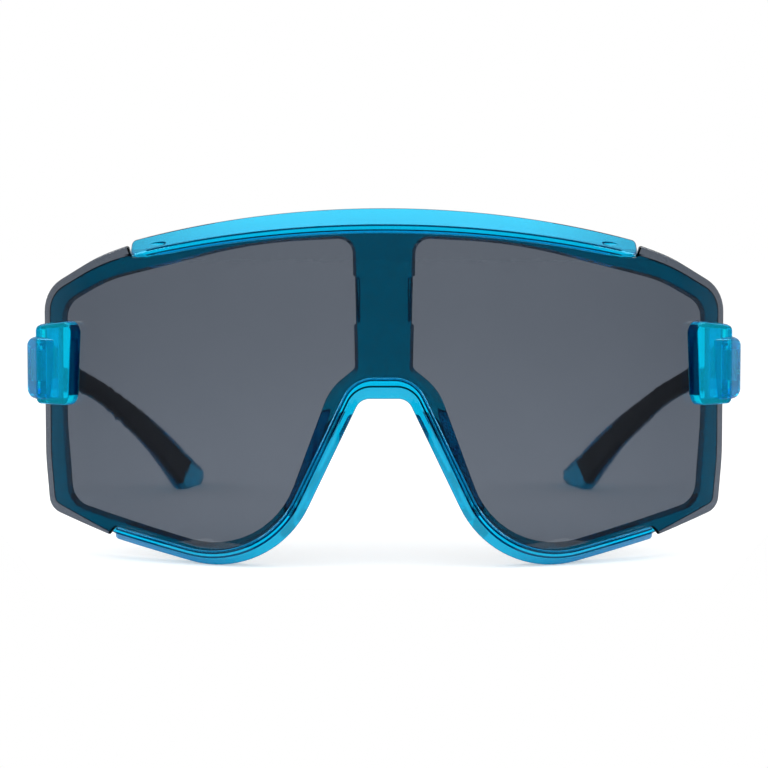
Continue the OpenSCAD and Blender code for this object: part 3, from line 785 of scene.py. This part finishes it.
lens_room = room_at_edge("lens_room", half_w + part_gap, slot_front, slot_back)
joined(lens_room, edge_plug("plug", clip_lap + part_gap), "DIFFERENCE")
joined(block, lens_room, "DIFFERENCE")
rim_room = room_at_edge("rim_room", half_w - side_inset + part_gap, slot_back - part_gap,
                        plate_back + part_gap)
joined(block, rim_room, "DIFFERENCE")

knuckle_r = 1.5
knuckle_h = 2.1
leaf_t = 0.9
leaf_l = 6.4
head_h = 0.5
pivot_x = arm_in + leaf_t - knuckle_r
hinge_h = 3 * knuckle_h + 2 * part_gap
hinge_z = joint_top - leaf_t - part_gap - head_h - hinge_h / 2


def hinge_room(piece, hand):
    room_h = hinge_h + 2 * part_gap
    deep = arm_in + leaf_t + part_gap
    far = joint_y + hand * (leaf_l + part_gap)
    near = joint_y - hand * overrun
    low_z = hinge_z - room_h / 2
    barrel_r = knuckle_r + turn_gap
    pocket = [(arm_in - overrun, near, low_z), (arm_in - overrun, far, low_z), (deep, far, low_z),
              (deep, near, low_z)]
    joined(piece, extruded("pocket", pocket, (0, 0, room_h)), "DIFFERENCE")
    barrel = [(pivot_x + barrel_r * cos(k * pi / 24), joint_y + barrel_r * sin(k * pi / 24), low_z)
              for k in range(48)]
    joined(piece, extruded("barrel", barrel, (0, 0, room_h + head_h + part_gap)), "DIFFERENCE")


hinge_room(block, -1)
end_gloss = (0.15, 0.75, 1)
boss_gloss = (0.3, 0.85, 1)
boss_mark, wall_shade_mark, boss_shade_mark = 1, 2, 3
wall_strip = 0.9
clip_blue = clear_plastic("clip_plastic", (0.0, 0.82, 1.0), (0.0, 0.8, 1.0), (0.0, 0.42, 0.85),
                          (150, 5, 0.5), 1.5, 0.82, end_gloss)
boss_blue = clear_plastic("boss_plastic", (0.01, 0.68, 1.0), (0.008, 0.66, 0.99), (0.0, 0.3, 0.7),
                          (150, 6, 1), 1.5, 0.8, boss_gloss)
# Painted shade copies of the clip plastic: dark navy for the inner side wall, darker blue for the boss's
# sides.
wall_shade_blue = clear_plastic("wall_shade_plastic", (0.0, 0.02, 0.07), (0.0, 0.015, 0.06), (0.0, 0.01, 0.03),
                          (150, 6, 1), 1.5, 0.5, end_gloss)
boss_shade_blue = clear_plastic("boss_shade_plastic", (0.0, 0.2, 0.55), (0.0, 0.18, 0.52), (0.0, 0.12, 0.4),
                          (150, 6, 1), 1.5, 0.6, end_gloss)
# The inner side wall takes the dark navy painted shade, and the boss's faces turned up, down or inward the
# darker blue painted shade. The boss's front keeps its own blue.
for face in block.data.polygons:
    spot = face.center - block_place
    if spot.dot(block_along) < wall_strip - clip_w and face.normal.dot(block_along) < -0.3:
        face.material_index = wall_shade_mark
    elif spot.dot(block_deep) < clip_front - 0.05:
        turned = face.normal.x < 0.2 and face.normal.dot(block_deep) > -0.85
        face.material_index = boss_shade_mark if turned else boss_mark
other_block = twin(block, "end_block_right")
for piece, node in ((block, "end_piece_left"), (other_block, "end_piece_right")):
    settled(piece)
    for finish in (clip_blue, boss_blue, wall_shade_blue, boss_shade_blue):
        piece.data.materials.append(finish)
    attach(piece, "front")
    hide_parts(node)

# A temple is a curved blade of clear blue plastic, thick at its hinge, thin and flat behind the temple and
# thicker again at its tip, which stands on the table. Each row of shares says how far back it lies, and gives
# the blade's top, underside and thickness there.
temple_l = 112.4
toe_in = 22.2
toe_from = 0.075
toe_curve = 1.12
floor_z = -base_z
temple_rings = 60
inner_share = 0.25
temple_ease = 0.3
temple_shares = [
    [0, 1, 0.74, 1], [0.06, 0.955, 0.742, 0.93], [0.12, 0.885, 0.738, 0.78], [0.2, 0.822, 0.715, 0.66],
    [0.35, 0.715, 0.612, 0.58], [0.5, 0.592, 0.463, 0.56], [0.65, 0.46, 0.3, 0.58],
    [0.8, 0.307, 0.1, 0.64], [0.88, 0.215, -0.01, 0.68], [0.96, 0.128, -0.03, 0.66], [1, 0.078, 0.015, 0.5]]
grip_t = 1.6
grip_from, grip_full, grip_foot, grip_to = 0.115, 0.145, 0.82, 0.906
grip_end = 0.152
grip_middle = 0.5
grip_turn = 0.2


def rate(k, column):
    a, b = temple_shares[max(k - 1, 0)], temple_shares[min(k + 1, len(temple_shares) - 1)]
    return (b[column] - a[column]) / (b[0] - a[0])


def share_at(t, column):
    k = max(i for i in range(len(temple_shares) - 1) if t >= temple_shares[i][0])
    a, b = temple_shares[k], temple_shares[k + 1]
    h = b[0] - a[0]
    u = (t - a[0]) / h
    return (a[column] * (1 + 2 * u) * (1 - u) ** 2 + b[column] * u * u * (3 - 2 * u)
            + rate(k, column) * h * u * (1 - u) ** 2 - rate(k + 1, column) * h * u * u * (1 - u))


def temple_y(t):
    return joint_y + turn_gap + t * temple_l


def temple_x(t):
    return arm_in - toe_in * (max(0, t - toe_from) / (1 - toe_from)) ** toe_curve


def temple_ring(t):
    thick = share_at(t, 3) * head_t
    top, low = share_at(t, 1) * joint_top, share_at(t, 2) * joint_top
    x0, x1, y = temple_x(t), temple_x(t) + thick, temple_y(t)
    ri, ro = inner_share * thick, outer_share * thick
    corners = [(x1 - ro, top - ro, ro, 0), (x0 + ri, top - ri, ri, 90), (x0 + ri, low + ri, ri, 180),
               (x1 - ro, low + ro, ro, 270)]
    return [(x + r * cos(radians(start + a)), y, z + r * sin(radians(start + a)))
            for x, z, r, start in corners for a in range(0, 91, 15)]


def temple_form(name):
    piece = lofted(name, [temple_ring(k / temple_rings) for k in range(temple_rings + 1)])
    bpy.ops.object.mode_set(mode="EDIT")
    bpy.ops.mesh.select_all(action="SELECT")
    bpy.ops.mesh.bisect(plane_co=(0, 0, floor_z), plane_no=(0, 0, 1), clear_inner=True, use_fill=True)
    bpy.ops.object.mode_set(mode="OBJECT")
    eased(piece, temple_ease, segments=2, angle=50, merge=False)
    return piece


def grip_top(t, air):
    drop = max(-1, min(1, (t - grip_middle) / grip_turn))
    return share_at(t, 1) * joint_top + air - grip_t * drop


def grip_space(air):
    ts = [(k + 0.5) / temple_rings for k in range(temple_rings)]
    under = floor_z - overrun
    plan = ([(temple_x(t) - overrun, temple_y(t), under) for t in ts]
            + [(temple_x(t) + grip_t + air, temple_y(t), under) for t in reversed(ts)])
    side = ([(temple_y(grip_from) - air, under), (temple_y(grip_full) - air, joint_top)]
            + [(temple_y(t), grip_top(t, air)) for t in ts if grip_full < t < grip_to]
            + [(temple_y(grip_to) + air, grip_end * joint_top), (temple_y(grip_foot) + air, 0),
               (temple_y(grip_foot), under)])
    space = extruded("grip_plan", plan, (0, 0, front_h))
    return joined(space, extruded("grip_side", [(0, p[0], p[1]) for p in side], (2 * half_w, 0, 0)),
                  "INTERSECT")


temple = temple_form("temple_blade_left")
joined(temple, grip_space(part_gap), "DIFFERENCE")
hinge_room(temple, 1)
other_temple = twin(temple, "temple_blade_right")
arm_blue = clear_plastic("arm_plastic", (0.008, 0.8, 0.995), (0.006, 0.78, 0.99), (0.0, 0.5, 0.92),
                         (600, 8, 2), 1.5, 0.9, end_gloss)
for piece, side in ((temple, "left"), (other_temple, "right")):
    settled(piece)
    piece.data.materials.append(arm_blue)
    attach(piece, side + "_temple")
    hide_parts("temple_arm_" + side)

# A grip is a black rubber strip, let into the inside of a temple from its hinge nearly to its tip. Its
# rubber is matt and finely grained.
black, tree, shader = new_finish("black_rubber")
rubber_tone = mixed(tree, between(tree, grain(tree, 300), 0, 1), (0.07, 0.068, 0.07), (0.09, 0.088, 0.09))
tree.links.new(rubber_tone, shader.inputs["Base Color"])
tree.links.new(between(tree, grain(tree, 2500, 4), 0.55, 0.75), shader.inputs["Roughness"])
shader.inputs["Specular IOR Level"].default_value = 0.35
raised(tree, shader, grain(tree, 4500, 3), 0.5, 0.00004)
grip = joined(temple_form("grip_left"), grip_space(0), "INTERSECT")
other_grip = twin(grip, "grip_right")
for piece, side in ((grip, "left"), (other_grip, "right")):
    settled(piece)
    piece.data.materials.append(black)
    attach(piece, side + "_temple")
    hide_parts("temple_grip_" + side)


# The hinge leaves are stamped from steel strip and brushed along their length. The rivets are turned, and so
# is the slotted screw. All of them are the frame's own pieces.
def metal(name, light, dark, stretch, rough):
    finish, tree, shader = new_finish(name)
    shader.inputs["Metallic"].default_value = 1
    lines = grain(tree, 1200, 5, stretch)
    tree.links.new(mixed(tree, between(tree, lines, 0, 1), light, dark), shader.inputs["Base Color"])
    tree.links.new(between(tree, lines, rough[0], rough[1]), shader.inputs["Roughness"])
    raised(tree, shader, lines, 0.3, 0.00001)
    return finish


leaf_steel = metal("leaf_steel", (0.55, 0.55, 0.56), (0.42, 0.42, 0.44), (1, 0.08, 1), (0.25, 0.4))
rivet_steel = metal("rivet_steel", (0.62, 0.61, 0.6), (0.5, 0.49, 0.48), (1, 1, 1), (0.2, 0.35))
screw_steel = metal("screw_steel", (0.5, 0.5, 0.52), (0.38, 0.38, 0.4), (1, 1, 0.1), (0.22, 0.38))
steels = {"front_leaf_": leaf_steel, "temple_leaf_": leaf_steel, "front_rivets_": rivet_steel,
          "temple_rivets_": rivet_steel, "hinge_screw_": screw_steel}
for side in ("left", "right"):
    for kind, finish in steels.items():
        node = frame["nodes"][kind + side]
        node.data.materials.clear()
        node.data.materials.append(finish)
